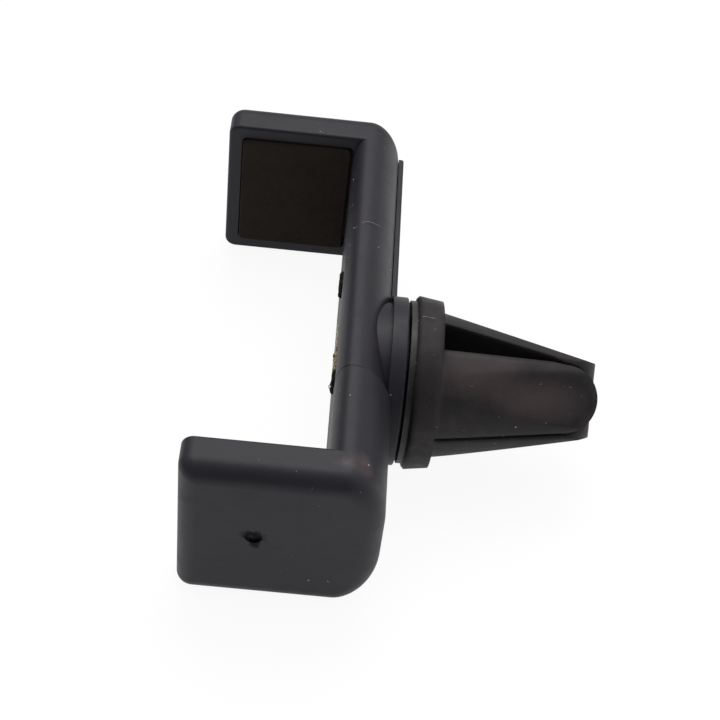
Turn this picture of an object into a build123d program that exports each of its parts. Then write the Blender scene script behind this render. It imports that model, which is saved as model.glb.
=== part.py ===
from build123d import *
import os

# Air vent phone holder: a spring clamp for the phone, and a swivelling rubber clip for the vent.
# Millimetres. X runs from the phone to the vent, Y along the clamp towards the fixed jaw, Z across
# the bar. The origin is on the swivel's axis, in the face on which the phone's back lies.

# Clamp
fixed_jaw_y = 39.15  # the fixed jaw's face, from the swivel's axis
sliding_jaw_distance = 25.3  # the sliding jaw's face, from the swivel's axis the other way
fixed_jaw_reach = 20.0  # from the phone's back to the fixed jaw's tip
sliding_jaw_reach = 19.6
jaw_thickness = 6.2
tip_round = 1.8  # corners of the jaws' tips
outer_round = 2.8  # edges of the jaws' outer faces
inner_round = 0.5  # edges of the jaws' inner faces

# Section of the bar, bull-nosed at the sides
bar_width = 26.0
bar_depth = 7.6
front_round_x = 2.2
front_round_z = 3.6
bar_side_flat = 0.1  # between the front and the rear rounding
rear_round_z = 8.5
housing_wall = 1.5

# Sleeve of the sliding jaw, and the nose of the housing inside it
sleeve_start = 9.9  # its end, from the swivel's axis
sleeve_wall = 1.3
sleeve_side_step = 0.6  # stands out from the bar's sides
sleeve_back_step = 0.8  # stands out from the bar's back
sleeve_side_flat = 0.1
sleeve_rear_round_z = 10.0
sleeve_pocket = 2.2  # how far its hollow reaches into the jaw
sleeve_chamfer = 0.35
slide_gap = 0.15
parting_gap = 0.3
nose_end_gap = 0.4
nose_hold = 2.2  # how much of the nose stays in the sleeve when the clamp is open

# Pads in the jaws
pad_reach = 17.9  # from the phone's back to the ends of the pads' recesses
pad_side_rim = 2.15
pad_thickness = 1.9
pad_proud = 0.6
pad_gap = 0.2
pad_bar_gap = 0.35
pad_corner = 0.8
gate_radius = 1.2  # mark of the mould's gate on the sliding jaw
gate_depth = 0.5
gate_x = -9.0
gate_z = 0.6

# Back cover
cover_width = 12.4
cover_step = 0.8  # stands out from the bar's back
cover_end_margin = 1.45  # from the fixed jaw's outer face
cover_corner = 1.2
cover_edge_round = 0.35
cover_flange = 0.7  # how far the cover laps over the sides of its window
window_gap = 0.1
disc_radius = 12.5
disc_height = 2.3
disc_overhang = 1.0  # beyond the saddle that carries the disc
disc_edge_round = 0.3
disc_clearance = 0.35  # from the disc's rim to the sleeve
screw_diameter = 1.8
screw_length = 6.0
screw_hole_gap = 0.02
screw_post_wall = 1.3
recess_width = 0.55
recess_span = 2.0
recess_depth = 0.7

# Guide rods, bushes and return springs, in the hollow of the bar
rod_from_side = 6.2
rod_end_wall = 0.9  # between a rod's end and the sliding jaw's outer face
rod_seat_gap = 0.01
rod_running_gap = 0.06
rod_passage_gap = 0.25
spring_wire = 0.35
spring_clearance = 0.7  # from the springs to the hollow's front and back
spring_bore_gap = 0.25  # from the rods to the springs
spring_coils = 9
spring_pressed_length = 19.0  # when the clamp is open
spring_seat_gap = 0.05
guide_wall = 3.1
bush_wall = 0.6
bush_flange_clearance = 0.3
bush_flange = 0.7
bush_length = 5.0
bush_gap = 0.02
washer_clearance = 0.4
washer_thickness = 0.4
clip_thickness = 0.5
groove_depth = 0.25
rod_end_length = 1.2
cavity_end_gap = 2.6

# Swivel
stem_diameter = 7.0
stem_gap = 0.06
friction_washer_diameter = 17.0
friction_washer_thickness = 0.4
neck_length = 0.9
neck_inset = 0.8  # from the collar's edge
collar_wall = 2.5  # round the hub's flange
hub_throat_inset = 1.9  # from the flange's edge
hub_flange = 1.4
hub_sunk = 0.8  # how deep the flange lies under the collar's face
spigot_diameter = 9.0
spigot_end_wall = 0.5
hub_gap = 0.04
inside_washer_width = 0.8
washer_recess_depth = 1.3
washer_recess_gap = 0.2
spring_washer_height = 0.6
spring_washer_thickness = 0.3
thrust_washer_thickness = 0.5
swivel_screw_diameter = 2.6
swivel_screw_end_wall = 0.8
screw_end_gap = 0.3
swivel_head_diameter = 5.0
swivel_head_height = 1.6

# Rubber clip
collar_length = 3.8
collar_front_radius = 12.9
collar_draft = 0.5
collar_chamfer = 0.35
tongue_length = 23.5
tongue_inset = 1.6  # from the collar's rear edge
tongue_tip_radius = 6.8  # at the corners between the flats
tongue_tip_flat = 5.4  # from the axis to a flat
tongue_tip_width = 10.0
tongue_root_width = 15.0
wide_slot_root = 5.3
wide_slot_tip = 0.5
narrow_slot = 0.6

# Torn cushion on the front
scrap_thickness = 0.6

# Places that follow from the sizes
half_bar = bar_width / 2
half_sleeve = half_bar + sleeve_side_step
sleeve_back = bar_depth + sleeve_back_step
rear_round_x = bar_depth - front_round_x - bar_side_flat
sleeve_rear_round_x = sleeve_back - front_round_x - sleeve_side_flat
fixed_jaw_back = fixed_jaw_y + jaw_thickness
sliding_jaw_y = -sliding_jaw_distance
sliding_jaw_back = sliding_jaw_y - jaw_thickness
parting_y = -sleeve_start + parting_gap
pocket_y = sliding_jaw_y - sleeve_pocket
nose_y = pocket_y + nose_end_gap
nose_inset = sleeve_wall + slide_gap
slide_travel = -sleeve_start - nose_hold - nose_y

cavity_back = bar_depth - housing_wall
cavity_depth = cavity_back - housing_wall
rod_x = bar_depth / 2
rod_zs = (half_bar - rod_from_side, rod_from_side - half_bar)
spring_diameter = cavity_depth - 2 * spring_clearance - spring_wire  # at the middle of the wire
spring_length = spring_pressed_length + slide_travel
rod_diameter = spring_diameter - spring_wire - 2 * spring_bore_gap
bush_diameter = rod_diameter + 2 * bush_wall
bush_flange_diameter = cavity_depth - 2 * bush_flange_clearance
washer_diameter = cavity_depth - 2 * washer_clearance
guide_wall_y = parting_y + guide_wall
spring_start_y = guide_wall_y + bush_flange + spring_seat_gap
washer_y = spring_start_y + spring_length + spring_seat_gap
clip_y = washer_y + washer_thickness
rod_end_y = clip_y + clip_thickness + rod_end_length
cavity_end_y = rod_end_y + cavity_end_gap
rod_start_y = sliding_jaw_back + rod_end_wall

cover_back = bar_depth + cover_step
cover_end_y = fixed_jaw_back - cover_end_margin
window_width = cover_width - 2 * cover_flange
boss_radius = disc_radius - disc_overhang
disc_back = bar_depth + disc_height
screw_head_diameter = screw_diameter + 2 * cover_step
cover_screw_ys = ((disc_radius + cavity_end_y) / 2, (cavity_end_y + cover_end_y) / 2)

hub_face = disc_back + friction_washer_thickness
collar_face = hub_face + neck_length
collar_back = collar_face + collar_length
collar_rear_radius = collar_front_radius - collar_draft
neck_radius = collar_front_radius - neck_inset
hub_flange_radius = collar_front_radius - collar_wall
hub_throat_radius = hub_flange_radius - hub_throat_inset
hub_flange_x = collar_face + hub_sunk
spigot_x = hub_flange_x + hub_flange
spigot_end = collar_back - spigot_end_wall
inside_washer_diameter = stem_diameter + 2 * inside_washer_width
washer_recess_x = cavity_back + washer_recess_depth
stem_end = washer_recess_x - spring_washer_height
head_back = stem_end - thrust_washer_thickness
swivel_screw_end = spigot_end - swivel_screw_end_wall
tongue_tip = collar_back + tongue_length
tongue_root_radius = collar_rear_radius - tongue_inset


def across(y):
    """A plane across the bar at y, with X and Z as its axes; an extrusion from it runs towards -Y."""
    return Plane.XZ.offset(-y)


def draw_section(half_width, back, rear_x, rear_z, inset):
    """Outline of the bar or the sleeve: flat front and back, with elliptical corners."""
    high = back - inset
    side = half_width - inset
    nose_x = front_round_x - inset
    nose_z = front_round_z - inset
    heel_x = rear_x - inset
    heel_z = rear_z - inset
    with BuildLine() as outline:
        Line((inset, 0), (inset, side - nose_z))
        EllipticalCenterArc((inset + nose_x, side - nose_z), nose_x, nose_z, 180, arc_size=-90)
        Line((inset + nose_x, side), (high - heel_x, side))
        EllipticalCenterArc((high - heel_x, side - heel_z), heel_x, heel_z, 90, arc_size=-90)
        Line((high, side - heel_z), (high, 0))
        mirror(about=Plane.XZ)
    make_face(outline.edges())


def draw_bar(inset=0.0):
    draw_section(half_bar, bar_depth, rear_round_x, rear_round_z, inset)


def draw_sleeve(inset=0.0):
    draw_section(half_sleeve, sleeve_back, sleeve_rear_round_x, sleeve_rear_round_z, inset)


def draw_jaw(reach, half_width, root):
    """Outline of a jaw from its rounded tip to the bar, seen along the clamp."""
    with Locations((-reach, 0)):
        Rectangle(reach + root, 2 * half_width, align=(Align.MIN, Align.CENTER))
    fillet(vertices().group_by(Axis.X)[0], tip_round)


def draw_pad_recess(gap=0.0, bar_gap=0.0):
    """Outline of a pad's recess, or of the pad when it is drawn smaller by its gaps."""
    with Locations((gap - pad_reach, 0)):
        RectangleRounded(
            pad_reach - gap - bar_gap,
            bar_width - 2 * pad_side_rim - 2 * gap,
            pad_corner,
            align=(Align.MIN, Align.CENTER),
        )


def make_pad(face_y, into_jaw):
    """A jaw's pad; into_jaw is 1 where the jaw lies at higher Y than the phone, and -1 elsewhere."""
    front = face_y - into_jaw * pad_proud
    with BuildPart() as pad:
        with BuildSketch(across(front)):
            draw_pad_recess(pad_gap, pad_bar_gap)
        extrude(amount=-into_jaw * pad_thickness)
        fillet(pad.faces().sort_by(Axis.Y)[0 if into_jaw > 0 else -1].edges(), inner_round / 2)
    return pad


def draw_nose_hollow():
    """Outline of the hollow between the rods in the nose."""
    with Locations((rod_x, 0)):
        RectangleRounded(bush_diameter, rod_zs[0] - rod_zs[1] - 2 * bush_diameter, pad_corner)


def jaw_face_edges(part, face_y):
    """The edges of a jaw's inner face, at the tip and along both sides."""
    face = part.faces().filter_by(Axis.Y).filter_by_position(Axis.Y, face_y, face_y)[0]
    return face.edges().sort_by(Axis.X)[:-1]


def make_rod(z):
    """A steel guide rod at height z, with the groove for its clip."""
    with BuildPart() as rod:
        with BuildSketch(across(rod_end_y)):
            with Locations((rod_x, z)):
                Circle(rod_diameter / 2)
        extrude(amount=rod_end_y - rod_start_y)
        chamfer(rod.faces().sort_by(Axis.Y)[-1].edges(), groove_depth)
        with BuildSketch(across(clip_y + clip_thickness)):
            with Locations((rod_x, z)):
                Circle(rod_diameter / 2)
                Circle(rod_diameter / 2 - groove_depth, mode=Mode.SUBTRACT)
        extrude(amount=clip_thickness, mode=Mode.SUBTRACT)
    return rod


def make_return_spring(z):
    """A compression spring round the rod at height z, between the bush and the washer."""
    rise = spring_length - spring_wire
    start = spring_start_y + spring_wire / 2
    with BuildPart() as spring:
        with BuildLine() as coil:
            Helix(rise / spring_coils, rise, spring_diameter / 2, (rod_x, start, z), (0, 1, 0))
        with BuildSketch(Plane(origin=coil.line @ 0, z_dir=coil.line % 0)):
            Circle(spring_wire / 2)
        sweep(path=coil.line, is_frenet=True)
    return spring


def make_washer(x, thickness, outside, hole):
    """A flat washer round the swivel's axis, from x towards the vent."""
    with BuildPart() as washer:
        with BuildSketch(Plane.YZ.offset(x)):
            Circle(outside / 2)
            Circle(hole / 2, mode=Mode.SUBTRACT)
        extrude(amount=thickness)
    return washer


# Outlines of the scraps in Y and Z
scrap_outlines = [
    [(9.8, 6.2), (10.4, 8.6), (12.9, 8.9), (13.3, 7.4), (12.1, 6.0)],
    [(-1.6, 5.6), (-1.9, 8.3), (0.4, 8.9), (2.6, 8.1), (1.9, 6.3), (0.2, 5.1)],
    [(-7.2, 3.9), (-7.0, 8.4), (-4.6, 8.9), (-2.6, 8.2), (-3.1, 6.4), (-4.4, 5.7), (-5.2, 3.6)],
]


# Housing: fixed jaw, bar and nose
with BuildPart() as housing:
    with BuildSketch(across(fixed_jaw_back)):
        draw_jaw(fixed_jaw_reach, half_bar, bar_depth - rear_round_x)
    extrude(amount=jaw_thickness)
    fillet(jaw_face_edges(housing, fixed_jaw_y), inner_round)
    with BuildSketch(across(fixed_jaw_back)):
        draw_bar()
    extrude(amount=fixed_jaw_back - parting_y)
    fillet(housing.faces().sort_by(Axis.Y)[-1].edges(), outer_round)
    with BuildSketch(across(parting_y)):
        draw_sleeve(nose_inset)
    extrude(amount=parting_y - nose_y)
    with BuildSketch(across(fixed_jaw_y)):
        draw_pad_recess()
    extrude(amount=-(pad_thickness - pad_proud), mode=Mode.SUBTRACT)
    # hollow for the springs and the swivel's washers, and its window under the cover
    with BuildSketch(across(cavity_end_y)):
        draw_bar(housing_wall)
    extrude(amount=cavity_end_y - guide_wall_y, mode=Mode.SUBTRACT)
    with BuildSketch(Plane.YZ.offset(bar_depth)):
        with Locations((guide_wall_y, 0)):
            Rectangle(cavity_end_y - guide_wall_y, window_width, align=(Align.MIN, Align.CENTER))
    extrude(amount=-(housing_wall + rear_round_x / 2), mode=Mode.SUBTRACT)
    # post under the cover's middle screw, and the pilot holes of both screws
    with BuildSketch(Plane.YZ.offset(housing_wall / 2)):
        with Locations((cover_screw_ys[0], 0)):
            Circle(screw_diameter / 2 + screw_post_wall)
    extrude(amount=cavity_back - window_gap - housing_wall / 2)
    with Locations(Plane.YZ.offset(bar_depth)):
        with Locations(*[(y, 0) for y in cover_screw_ys]):
            Hole(screw_diameter / 2 + screw_hole_gap, depth=screw_length)
    # seats of the bushes, passages of the rods, and the hollow between them in the nose
    with BuildSketch(across(guide_wall_y)):
        with Locations(*[(rod_x, z) for z in rod_zs]):
            Circle(bush_diameter / 2 + bush_gap)
    extrude(amount=bush_length, mode=Mode.SUBTRACT)
    with BuildSketch(across(guide_wall_y)):
        with Locations(*[(rod_x, z) for z in rod_zs]):
            Circle(rod_diameter / 2 + rod_passage_gap)
    extrude(amount=guide_wall_y - nose_y, mode=Mode.SUBTRACT)
    with BuildSketch(across(nose_y)):
        draw_nose_hollow()
    extrude(amount=-(parting_y - nose_y), mode=Mode.SUBTRACT)
housing.part.label = "housing"

# Back cover: saddle on the bar, plate with its lip, and the swivel's disc
with BuildPart() as back_cover:
    with BuildSketch(Plane.YZ.offset(bar_depth)):
        Circle(boss_radius)
    extrude(amount=-rear_round_x)
    with BuildSketch(Plane.XY.offset(half_sleeve)):
        with Locations((0, parting_y)):
            Rectangle(bar_depth, 2 * disc_radius, align=(Align.MIN, Align.MAX))
    extrude(amount=-2 * half_sleeve, mode=Mode.SUBTRACT)
    with BuildSketch(across(disc_radius)):
        draw_bar()
    extrude(amount=2 * disc_radius, mode=Mode.SUBTRACT)
    with BuildSketch(Plane.YZ.offset(bar_depth)):
        with Locations((cover_end_y, 0)):
            RectangleRounded(
                cover_end_y - parting_y, cover_width, cover_corner, align=(Align.MAX, Align.CENTER)
            )
    extrude(amount=cover_step)
    fillet(back_cover.faces().sort_by(Axis.X)[-1].edges(), cover_edge_round)
    with BuildSketch(Plane.YZ.offset(cavity_back)):
        with Locations((guide_wall_y + window_gap, 0)):
            Rectangle(
                cavity_end_y - guide_wall_y - 2 * window_gap,
                window_width - 2 * window_gap,
                align=(Align.MIN, Align.CENTER),
            )
    extrude(amount=housing_wall)
    with BuildSketch(Plane.YZ.offset(bar_depth)):
        Circle(disc_radius)
    extrude(amount=disc_height)
    fillet(back_cover.faces().sort_by(Axis.X)[-1].edges(), disc_edge_round)
    with BuildSketch(Plane.YZ.offset(disc_back)):
        Circle(stem_diameter / 2 + stem_gap)
    extrude(amount=-(disc_back - cavity_back), mode=Mode.SUBTRACT)
    with BuildSketch(Plane.YZ.offset(cavity_back)):
        Circle(inside_washer_diameter / 2 + washer_recess_gap)
    extrude(amount=washer_recess_depth, mode=Mode.SUBTRACT)
    with Locations(Plane.YZ.offset(cover_back)):
        with Locations(*[(y, 0) for y in cover_screw_ys]):
            CounterSinkHole(
                screw_diameter / 2 + screw_hole_gap,
                screw_head_diameter / 2 + screw_hole_gap,
                counter_sink_angle=90,
            )
back_cover.part.label = "back_cover"

# Sliding jaw with its sleeve
with BuildPart() as sliding_jaw:
    with BuildSketch(across(sliding_jaw_y)):
        draw_jaw(sliding_jaw_reach, half_sleeve, sleeve_back - sleeve_rear_round_x)
    extrude(amount=jaw_thickness)
    fillet(jaw_face_edges(sliding_jaw, sliding_jaw_y), inner_round)
    with BuildSketch(across(-sleeve_start)):
        draw_sleeve()
    extrude(amount=-sleeve_start - sliding_jaw_back)
    fillet(sliding_jaw.faces().sort_by(Axis.Y)[0].edges(), outer_round)
    chamfer(sliding_jaw.faces().sort_by(Axis.Y)[-1].edges(), sleeve_chamfer)
    with BuildSketch(across(-sleeve_start)):
        draw_sleeve(sleeve_wall)
    extrude(amount=-sleeve_start - pocket_y, mode=Mode.SUBTRACT)
    with BuildSketch(Plane.YZ.offset(sleeve_back)):
        Circle(disc_radius + disc_clearance)
    extrude(amount=-sleeve_back / 2, mode=Mode.SUBTRACT)
    with BuildSketch(across(sliding_jaw_y)):
        draw_pad_recess()
    extrude(amount=pad_thickness - pad_proud, mode=Mode.SUBTRACT)
    with BuildSketch(across(pocket_y)):
        with Locations(*[(rod_x, z) for z in rod_zs]):
            Circle(rod_diameter / 2 + rod_seat_gap)
    extrude(amount=pocket_y - rod_start_y, mode=Mode.SUBTRACT)
    with BuildSketch(across(sliding_jaw_back + gate_depth)):
        with Locations((gate_x, gate_z)):
            Circle(gate_radius)
    extrude(amount=gate_depth, mode=Mode.SUBTRACT)
sliding_jaw.part.label = "sliding_jaw"

fixed_jaw_pad = make_pad(fixed_jaw_y, 1)
fixed_jaw_pad.part.label = "fixed_jaw_pad"
sliding_jaw_pad = make_pad(sliding_jaw_y, -1)
sliding_jaw_pad.part.label = "sliding_jaw_pad"

# Scraps of the torn cushion on the front: a nub, a sliver and a ragged piece
with BuildPart() as front_pad_remnant:
    with BuildSketch(Plane.YZ):
        for outline in scrap_outlines:
            with BuildLine():
                Polyline(*outline, close=True)
            make_face()
    extrude(amount=-scrap_thickness)
front_pad_remnant.part.label = "front_pad_remnant"

# Guide rods with a groove for the clip, and what holds the springs on them
rods = [make_rod(z) for z in rod_zs]
rods[0].part.label = "guide_rod_upper"
rods[1].part.label = "guide_rod_lower"

springs = [make_return_spring(z) for z in rod_zs]
springs[0].part.label = "return_spring_upper"
springs[1].part.label = "return_spring_lower"

with BuildPart() as rod_bushes:
    with BuildSketch(across(guide_wall_y)):
        with Locations(*[(rod_x, z) for z in rod_zs]):
            Circle(bush_diameter / 2)
    extrude(amount=bush_length)
    with BuildSketch(across(guide_wall_y + bush_flange)):
        with Locations(*[(rod_x, z) for z in rod_zs]):
            Circle(bush_flange_diameter / 2)
    extrude(amount=bush_flange)
    with BuildSketch(across(guide_wall_y + bush_flange)):
        with Locations(*[(rod_x, z) for z in rod_zs]):
            Circle(rod_diameter / 2 + rod_running_gap)
    extrude(amount=bush_flange + bush_length, mode=Mode.SUBTRACT)
rod_bushes.part.label = "rod_bushes"

with BuildPart() as rod_washers:
    with BuildSketch(across(washer_y + washer_thickness)):
        for z in rod_zs:
            with Locations((rod_x, z)):
                Circle(washer_diameter / 2)
                Circle(rod_diameter / 2 + rod_running_gap, mode=Mode.SUBTRACT)
    extrude(amount=washer_thickness)
rod_washers.part.label = "rod_washers"

with BuildPart() as rod_clips:
    with BuildSketch(across(clip_y + clip_thickness)):
        for z in rod_zs:
            with Locations((rod_x, z)):
                Circle(washer_diameter / 2)
                Circle(rod_diameter / 2 - groove_depth, mode=Mode.SUBTRACT)
            with Locations((rod_x - washer_diameter / 2, z)):
                Rectangle(washer_diameter, rod_diameter - 2 * groove_depth, mode=Mode.SUBTRACT)
    extrude(amount=clip_thickness)
rod_clips.part.label = "rod_clips"

# Countersunk screws of the cover
with BuildPart() as cover_screws:
    for y in cover_screw_ys:
        with BuildSketch(Plane((0, y, 0), x_dir=(1, 0, 0), z_dir=(0, 0, 1))):
            with BuildLine():
                Polyline(
                    (cover_back, 0),
                    (cover_back, screw_head_diameter / 2),
                    (bar_depth, screw_diameter / 2),
                    (cover_back - screw_length + screw_diameter / 2, screw_diameter / 2),
                    (cover_back - screw_length, 0),
                    close=True,
                )
            make_face()
        revolve(axis=Axis((0, y, 0), (1, 0, 0)))
        with BuildSketch(Plane.YZ.offset(cover_back)):
            with Locations((y, 0)):
                Rectangle(recess_span, recess_width)
                Rectangle(recess_width, recess_span)
        extrude(amount=-recess_depth, mode=Mode.SUBTRACT)
cover_screws.part.label = "cover_screws"

# Swivel: hub with its stem, and the screw and washers that hold it
with BuildPart() as clip_hub:
    with BuildSketch(Plane.XY):
        with BuildLine():
            Polyline(
                (stem_end, 0),
                (stem_end, stem_diameter / 2),
                (hub_face, stem_diameter / 2),
                (hub_face, neck_radius),
                (collar_face, neck_radius),
                (collar_face, hub_throat_radius),
                (hub_flange_x, hub_throat_radius),
                (hub_flange_x, hub_flange_radius),
                (spigot_x, hub_flange_radius),
                (spigot_x, spigot_diameter / 2),
                (spigot_end, spigot_diameter / 2),
                (spigot_end, 0),
                close=True,
            )
        make_face()
    revolve(axis=Axis.X)
    with BuildSketch(Plane.YZ.offset(stem_end)):
        Circle(swivel_screw_diameter / 2 + screw_hole_gap)
    extrude(amount=swivel_screw_end - stem_end, mode=Mode.SUBTRACT)
clip_hub.part.label = "clip_hub"

friction_washer = make_washer(
    disc_back, friction_washer_thickness, friction_washer_diameter, stem_diameter + 2 * stem_gap
)
friction_washer.part.label = "friction_washer"
thrust_washer = make_washer(
    stem_end - thrust_washer_thickness,
    thrust_washer_thickness,
    inside_washer_diameter,
    swivel_screw_diameter + 2 * stem_gap,
)
thrust_washer.part.label = "thrust_washer"

with BuildPart() as spring_washer:
    with BuildSketch(Plane.XY):
        with BuildLine():
            inner = stem_diameter / 2 + stem_gap
            outer = inside_washer_diameter / 2
            rise = spring_washer_height - spring_washer_thickness
            Polyline(
                (stem_end, outer),
                (stem_end + spring_washer_thickness, outer),
                (stem_end + spring_washer_height, inner),
                (stem_end + rise, inner),
                close=True,
            )
        make_face()
    revolve(axis=Axis.X)
spring_washer.part.label = "spring_washer"

with BuildPart() as swivel_screw:
    with BuildSketch(Plane.YZ.offset(head_back)):
        Circle(swivel_head_diameter / 2)
    extrude(amount=-swivel_head_height)
    fillet(swivel_screw.faces().sort_by(Axis.X)[0].edges(), swivel_head_height / 3)
    with BuildSketch(Plane.YZ.offset(head_back)):
        Circle(swivel_screw_diameter / 2)
    extrude(amount=swivel_screw_end - screw_end_gap - head_back)
    with BuildSketch(Plane.YZ.offset(head_back - swivel_head_height)):
        Rectangle(recess_span, recess_width)
        Rectangle(recess_width, recess_span)
    extrude(amount=recess_depth, mode=Mode.SUBTRACT)
swivel_screw.part.label = "swivel_screw"

# One tongue, between the wide slot along Z and the narrow slot along Y: a slice of a cone, with a
# flat that faces half way between the slots and widens towards the tip
face_plane = Plane(origin=(0, 0, 0), x_dir=(1, 0, 0), z_dir=(0, -1, 1))
with BuildPart() as tongue:
    with BuildSketch(Plane.XY):
        with BuildLine():
            Polyline(
                (collar_back, 0),
                (collar_back, tongue_root_radius),
                (tongue_tip, tongue_tip_radius),
                (tongue_tip, 0),
                close=True,
            )
        make_face()
    revolve(axis=Axis.X)
    with BuildSketch(Plane.YZ.offset(collar_back)):
        Rectangle(2 * tongue_root_radius, 2 * tongue_root_radius, rotation=45)
    with BuildSketch(Plane.YZ.offset(tongue_tip)):
        Rectangle(2 * tongue_tip_flat, 2 * tongue_tip_flat, rotation=45)
    loft(ruled=True, mode=Mode.INTERSECT)
    with BuildSketch(Plane.XY):
        with BuildLine():
            Polyline(
                (collar_back, -wide_slot_root / 2),
                (tongue_tip - tongue_tip_width / 2, -wide_slot_tip / 2),
                (tongue_tip, -wide_slot_tip / 2),
                (tongue_tip, -2 * tongue_root_radius),
                (collar_back, -2 * tongue_root_radius),
                close=True,
            )
        make_face()
    extrude(amount=2 * tongue_root_radius, mode=Mode.INTERSECT)
    with BuildSketch(Plane.XZ):
        with Locations((collar_back, narrow_slot / 2)):
            Rectangle(tongue_length, 2 * tongue_root_radius, align=Align.MIN)
    extrude(amount=2 * tongue_root_radius, mode=Mode.INTERSECT)
    with BuildSketch(face_plane):
        with BuildLine():
            tip_x = tongue_tip - tongue_tip_width / 2
            side = Line((collar_back, -tongue_root_width / 2), (tip_x, -tongue_tip_width / 2))
            RadiusArc(side @ 1, (tongue_tip, 0), -tongue_tip_width / 2)
            mirror(about=Plane.XZ)
            Line((collar_back, tongue_root_width / 2), side @ 0)
        make_face()
    extrude(amount=2 * tongue_root_radius, both=True, mode=Mode.INTERSECT)

# Rubber clip: collar with the hub's seat, and the four tongues
with BuildPart() as clip_rubber:
    with BuildSketch(Plane.XY):
        with BuildLine():
            Polyline(
                (collar_face, hub_throat_radius + hub_gap),
                (collar_face, collar_front_radius - collar_chamfer),
                (collar_face + collar_chamfer, collar_front_radius),
                (collar_back, collar_rear_radius),
                (collar_back, 0),
                (spigot_end + hub_gap, 0),
                (spigot_end + hub_gap, spigot_diameter / 2 + hub_gap),
                (spigot_x + hub_gap, spigot_diameter / 2 + hub_gap),
                (spigot_x + hub_gap, hub_flange_radius + hub_gap),
                (hub_flange_x - hub_gap, hub_flange_radius + hub_gap),
                (hub_flange_x - hub_gap, hub_throat_radius + hub_gap),
                close=True,
            )
        make_face()
    revolve(axis=Axis.X)
    add(tongue.part)
    add(tongue.part.mirror(Plane.XY))
    add(tongue.part.mirror(Plane.XZ))
    add(tongue.part.mirror(Plane.XY).mirror(Plane.XZ))
clip_rubber.part.label = "clip_rubber"

finished = [
    housing,
    back_cover,
    sliding_jaw,
    fixed_jaw_pad,
    sliding_jaw_pad,
    front_pad_remnant,
    *rods,
    *springs,
    rod_bushes,
    rod_washers,
    rod_clips,
    cover_screws,
    clip_hub,
    friction_washer,
    thrust_washer,
    spring_washer,
    swivel_screw,
    clip_rubber,
]
os.makedirs("parts", exist_ok=True)
for piece in finished:
    export_step(piece.part, f"parts/{piece.part.label}.step")
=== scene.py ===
"""Air vent phone holder: finishes, torn cushion, dust and springs, the light and the camera."""
import math
import random

import bmesh
import bpy
from mathutils import Matrix, Vector


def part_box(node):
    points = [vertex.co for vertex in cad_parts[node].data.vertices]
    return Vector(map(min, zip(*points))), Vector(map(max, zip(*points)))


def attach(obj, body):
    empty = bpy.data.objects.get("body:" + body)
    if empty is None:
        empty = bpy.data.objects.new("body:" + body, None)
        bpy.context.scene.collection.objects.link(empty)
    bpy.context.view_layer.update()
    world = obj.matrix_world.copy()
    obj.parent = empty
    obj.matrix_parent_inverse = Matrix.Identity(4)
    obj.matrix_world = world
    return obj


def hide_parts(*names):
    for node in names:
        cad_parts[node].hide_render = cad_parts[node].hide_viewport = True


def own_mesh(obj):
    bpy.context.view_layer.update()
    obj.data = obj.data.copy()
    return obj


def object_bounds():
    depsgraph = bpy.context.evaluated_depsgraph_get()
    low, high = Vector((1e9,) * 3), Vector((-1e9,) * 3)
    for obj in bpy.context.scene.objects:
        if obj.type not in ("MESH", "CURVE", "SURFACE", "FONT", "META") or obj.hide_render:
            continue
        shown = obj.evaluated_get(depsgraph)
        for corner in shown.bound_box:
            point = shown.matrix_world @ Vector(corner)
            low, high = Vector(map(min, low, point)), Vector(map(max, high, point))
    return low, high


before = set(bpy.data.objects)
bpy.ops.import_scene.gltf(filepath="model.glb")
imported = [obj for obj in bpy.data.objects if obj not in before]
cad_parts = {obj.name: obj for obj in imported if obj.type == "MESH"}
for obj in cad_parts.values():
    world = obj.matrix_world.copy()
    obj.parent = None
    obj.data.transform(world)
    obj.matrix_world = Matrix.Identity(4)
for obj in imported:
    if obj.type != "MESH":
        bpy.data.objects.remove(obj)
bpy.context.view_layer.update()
MM = 0.001


def linear(hex_colour):
    """An sRGB hex colour as the linear values that a shader takes."""
    channels = []
    for start in (1, 3, 5):
        value = int(hex_colour[start : start + 2], 16) / 255
        if value <= 0.04045:
            channels.append(value / 12.92)
        else:
            channels.append(((value + 0.055) / 1.055) ** 2.4)
    return (*channels, 1.0)


def add_node(tree, kind, settings=None, inputs=None):
    """Adds a node with its settings; an input is a value, or the node or socket that feeds it."""
    node = tree.nodes.new(kind)
    for name, value in (settings or {}).items():
        setattr(node, name, value)
    for socket, value in (inputs or {}).items():
        if isinstance(value, bpy.types.Node):
            value = value.outputs[0]
        if isinstance(value, bpy.types.NodeSocket):
            tree.links.new(value, node.inputs[socket])
        else:
            node.inputs[socket].default_value = value
    return node


# Camera, where it stood for the photograph


def photo_camera():
    """The photograph's camera: it looks along the clamp, 47 degrees down, and is rolled by 3.9.

    Angles are in degrees and lengths in millimetres. The shifts move the camera across its view.
    """
    off_vertical = math.radians(42.923)
    turn = math.radians(2.52)
    roll = math.radians(3.9)
    distance = 241.6
    side_shift = 3.87
    up_shift = 2.205
    down, along = math.cos(off_vertical), math.sin(off_vertical)
    view = Vector((math.sin(turn) * down, along, -math.cos(turn) * down))
    flat_right = Vector((math.cos(turn), 0, math.sin(turn)))
    flat_up = Vector((-math.sin(turn) * along, down, math.cos(turn) * along))
    right = math.cos(roll) * flat_right + math.sin(roll) * flat_up
    up = math.cos(roll) * flat_up - math.sin(roll) * flat_right
    place = (side_shift * right + up_shift * up - distance * view) * MM
    lens = bpy.data.cameras.new("photo_camera")
    lens.sensor_width = 36
    lens.lens = 81.49
    lens.clip_start = 0.01
    camera = bpy.data.objects.new("photo_camera", lens)
    axes = Matrix((right, up, -view)).transposed().to_4x4()
    camera.matrix_world = Matrix.Translation(place) @ axes
    bpy.context.scene.collection.objects.link(camera)
    bpy.context.scene.camera = camera


photo_camera()
bpy.context.scene.view_settings.view_transform = "Standard"


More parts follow.
